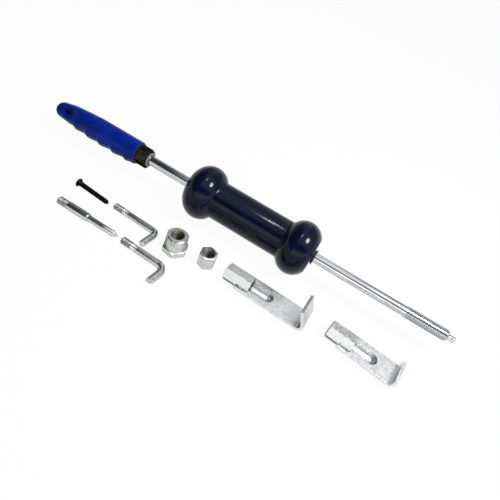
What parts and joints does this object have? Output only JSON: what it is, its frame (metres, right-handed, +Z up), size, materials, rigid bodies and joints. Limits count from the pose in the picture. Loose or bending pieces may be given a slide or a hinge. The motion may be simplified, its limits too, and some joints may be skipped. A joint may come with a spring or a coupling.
{
  "type": "slide hammer puller",
  "caption": "Slide hammer puller: a double-bulb weight slides on a rod between a grip's collar and a threaded end, with loose screw-on hooks, pin, nuts and claws.",
  "frame": {"origin": "on the rod's axis at the shoulder where the working thread starts", "axes": "+X along the rod to its working tip, +Z up from the surface it lies on, +Y away from the attachments"},
  "size_m": [0.5161, 0.154, 0.063],
  "materials": {
    "grip_plastic": "satin moulded royal blue",
    "black_plastic": "matt black",
    "blackened_steel": "dark mottled, oiled",
    "pale_ring": "pale",
    "rod_steel": "bright plated, drawn",
    "blue_enamel": "glossy dark blue enamel",
    "black_steel": "black, slightly glossy",
    "zinc_steel": "bright zinc plated, turned",
    "zinc_plate": "bright zinc plated, mottled",
    "weld_metal": "plated weld bead"
  },
  "bodies": {
    "puller": {"handle_grip": "grip_plastic", "handle_tube": "black_plastic", "collar_nut": "blackened_steel", "buffer_ring": "pale_ring", "rod": "rod_steel"},
    "bushes": {"rear_bush": "black_plastic", "front_bush": "black_plastic"},
    "weight": {"weight_casting": "blue_enamel"},
    "screw": {"sheet_metal_screw": "black_steel"},
    "pin": {"draw_pin": "zinc_steel"},
    "hook_small": {"small_hook": "zinc_steel"},
    "hook_large": {"large_hook": "zinc_steel"},
    "holder": {"screw_holder_nut": "zinc_steel"},
    "adapter": {"adapter_nut": "zinc_steel"},
    "tall_claw": {"tall_claw_strap": "zinc_plate", "tall_claw_nut": "zinc_steel", "tall_claw_welds": "weld_metal"},
    "short_claw": {"short_claw_strap": "zinc_plate", "short_claw_nut": "zinc_steel", "short_claw_welds": "weld_metal"}
  },
  "joints": [
    {"name": "weight_slide", "type": "slide", "parent": "puller", "child": "bushes", "axis": [1, 0, 0], "range_m": [-0.0555, 0.1092]},
    {"name": "weight_spin", "type": "hinge", "parent": "bushes", "child": "weight", "pos_m": [-0.1906, 0, 0], "axis": [1, 0, 0], "continuous": true},
    {"name": "lift_screw", "type": "slide", "parent": "puller", "child": "screw", "axis": [0, 0, 1], "range_m": [0, 0.1]},
    {"name": "lift_pin", "type": "slide", "parent": "puller", "child": "pin", "axis": [0, 0, 1], "range_m": [0, 0.1]},
    {"name": "lift_hook_small", "type": "slide", "parent": "puller", "child": "hook_small", "axis": [0, 0, 1], "range_m": [0, 0.1]},
    {"name": "lift_hook_large", "type": "slide", "parent": "puller", "child": "hook_large", "axis": [0, 0, 1], "range_m": [0, 0.1]},
    {"name": "lift_holder", "type": "slide", "parent": "puller", "child": "holder", "axis": [0, 0, 1], "range_m": [0, 0.1]},
    {"name": "lift_adapter", "type": "slide", "parent": "puller", "child": "adapter", "axis": [0, 0, 1], "range_m": [0, 0.1]},
    {"name": "lift_tall_claw", "type": "slide", "parent": "puller", "child": "tall_claw", "axis": [0, 0, 1], "range_m": [0, 0.1]},
    {"name": "lift_short_claw", "type": "slide", "parent": "puller", "child": "short_claw", "axis": [0, 0, 1], "range_m": [0, 0.1]}
  ]
}
